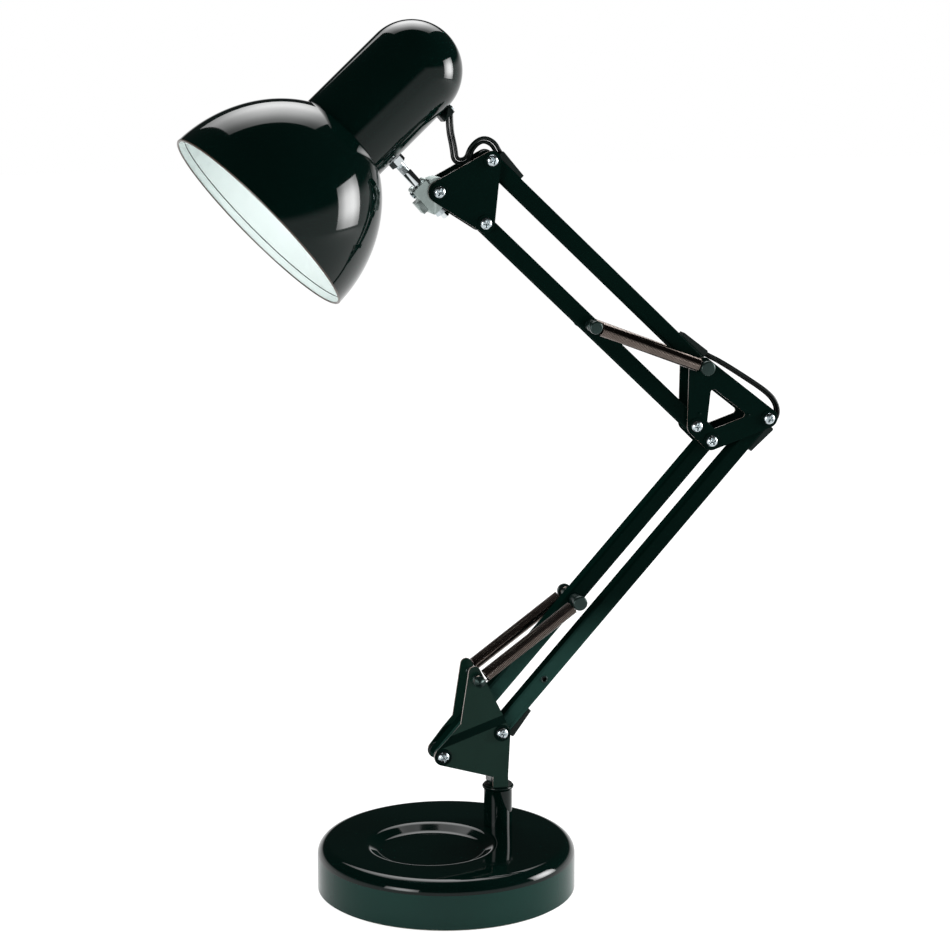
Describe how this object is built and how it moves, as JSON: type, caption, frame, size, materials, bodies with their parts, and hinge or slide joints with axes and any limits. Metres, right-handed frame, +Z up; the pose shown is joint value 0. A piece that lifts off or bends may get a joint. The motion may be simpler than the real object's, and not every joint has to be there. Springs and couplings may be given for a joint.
{
  "type": "desk lamp",
  "caption": "Spring-balanced desk lamp with a round weighted base, two parallel-bar arms and a bowl shade that tilts and swivels.",
  "frame": {"origin": "middle of the base's underside", "axes": "+Z up, the arms parallel to XZ, the shade towards -X"},
  "size_m": [0.4247, 0.1815, 0.5986],
  "materials": {
    "black_enamel": "gloss",
    "bar_enamel": "satin",
    "dark_steel": "satin",
    "zinc": "gloss",
    "chrome": "gloss",
    "cast_zinc": "satin",
    "spring_steel": "satin",
    "black_plastic": "matte",
    "cast_iron": "matte",
    "pad": "matte",
    "brass": "gloss",
    "flex": "satin"
  },
  "bodies": {
    "base": {"base_cover": "black_enamel", "base_weight": "cast_iron", "base_pad": "pad", "cord_gland": "black_plastic", "stem_tube": "black_enamel", "stem_bush": "black_plastic"},
    "fork": {"fork_bracket": "black_enamel", "fork_pin": "dark_steel", "pin_collar": "dark_steel", "fork_screws": "zinc", "fork_rings": "dark_steel", "fork_nuts": "zinc", "fork_studs": "dark_steel", "flex_fork": "flex"},
    "lower_right": {"lower_bar_right": "bar_enamel", "lower_right_bushes": "black_plastic", "lower_cord_guides": "black_plastic", "flex_elbow_low": "flex"},
    "lower_left": {"lower_bar_left": "bar_enamel", "lower_left_bushes": "black_plastic", "lower_spring_post": "dark_steel", "lower_spring_front": "spring_steel", "lower_spring_rear": "spring_steel"},
    "elbow": {"elbow_front_plate": "black_enamel", "elbow_rear_plate": "black_enamel", "elbow_screws": "zinc", "elbow_rings": "dark_steel", "elbow_nuts": "zinc", "elbow_post": "dark_steel", "flex_elbow_top": "flex"},
    "upper_top": {"upper_bar_top": "bar_enamel", "upper_top_bushes": "black_plastic", "elbow_top_bushes": "black_plastic", "upper_cord_guides": "black_plastic", "flex_head_bar": "flex"},
    "upper_bottom": {"upper_bar_bottom": "bar_enamel", "upper_bottom_bushes": "black_plastic", "upper_spring_post": "dark_steel", "upper_spring_front": "spring_steel", "upper_spring_rear": "spring_steel"},
    "head_bracket": {"head_front_plate": "black_enamel", "head_rear_plate": "black_enamel", "head_screws": "zinc", "head_rings": "dark_steel", "head_nuts": "zinc", "flex_head_loop": "flex"},
    "knuckle": {"knuckle_body": "cast_zinc", "clamp_screw": "zinc", "flex_grip": "flex"},
    "head": {"head_rod": "chrome", "rod_top_nut": "chrome", "rod_bottom_nut": "zinc", "shade_bowl": "black_enamel", "shade_cap": "black_enamel", "lampholder": "black_plastic", "holder_ring": "black_plastic", "holder_contact": "brass", "cord_grip": "black_plastic", "grip_screw": "zinc"}
  },
  "joints": [
    {"name": "stem_swivel", "type": "hinge", "parent": "base", "child": "fork", "pos_m": [0.0438, 0.0225, 0], "axis": [0, 0, 1], "range_deg": [-170, 170]},
    {"name": "lower_arm", "type": "hinge", "parent": "fork", "child": "lower_right", "pos_m": [0.0438, 0.0225, 0.1036], "axis": [0, -1, 0], "range_deg": [-13, 30], "deforming": ["flex_fork"]},
    {"name": "lower_left_pivot", "type": "hinge", "parent": "fork", "child": "lower_left", "pos_m": [0.0012, 0.0225, 0.0894], "axis": [0, -1, 0], "range_deg": [-13, 30], "deforming": ["lower_spring_front", "lower_spring_rear"]},
    {"name": "elbow_level", "type": "hinge", "parent": "lower_right", "child": "elbow", "pos_m": [0.23908, 0.0225, 0.31934], "axis": [0, -1, 0], "range_deg": [-30, 13], "deforming": ["flex_elbow_low"]},
    {"name": "upper_arm", "type": "hinge", "parent": "elbow", "child": "upper_top", "pos_m": [0.18954, 0.0225, 0.3584], "axis": [0, 1, 0], "range_deg": [-40, 34], "deforming": ["flex_elbow_top"]},
    {"name": "upper_bottom_pivot", "type": "hinge", "parent": "elbow", "child": "upper_bottom", "pos_m": [0.18519, 0.0225, 0.31625], "axis": [0, 1, 0], "range_deg": [-40, 34], "deforming": ["upper_spring_front", "upper_spring_rear"]},
    {"name": "head_level", "type": "hinge", "parent": "upper_top", "child": "head_bracket", "pos_m": [0.03604, 0.0225, 0.50477], "axis": [0, 1, 0], "range_deg": [-34, 40], "deforming": ["flex_head_bar"]},
    {"name": "head_tilt", "type": "hinge", "parent": "head_bracket", "child": "knuckle", "pos_m": [-0.0006, 0.0225, 0.48453], "axis": [0, 1, 0], "range_deg": [-45, 40], "deforming": ["flex_head_loop"]},
    {"name": "head_swivel", "type": "hinge", "parent": "knuckle", "child": "head", "pos_m": [-0.05188, 0.0225, 0.53185], "axis": [-0.6717, 0, 0.7408], "range_deg": [-60, 60], "deforming": ["flex_grip"]}
  ],
  "couplings": [
    {"joint": "lower_left_pivot", "follows": "lower_arm", "ratio": 1},
    {"joint": "elbow_level", "follows": "lower_arm", "ratio": -1},
    {"joint": "upper_bottom_pivot", "follows": "upper_arm", "ratio": 1},
    {"joint": "head_level", "follows": "upper_arm", "ratio": -1}
  ]
}
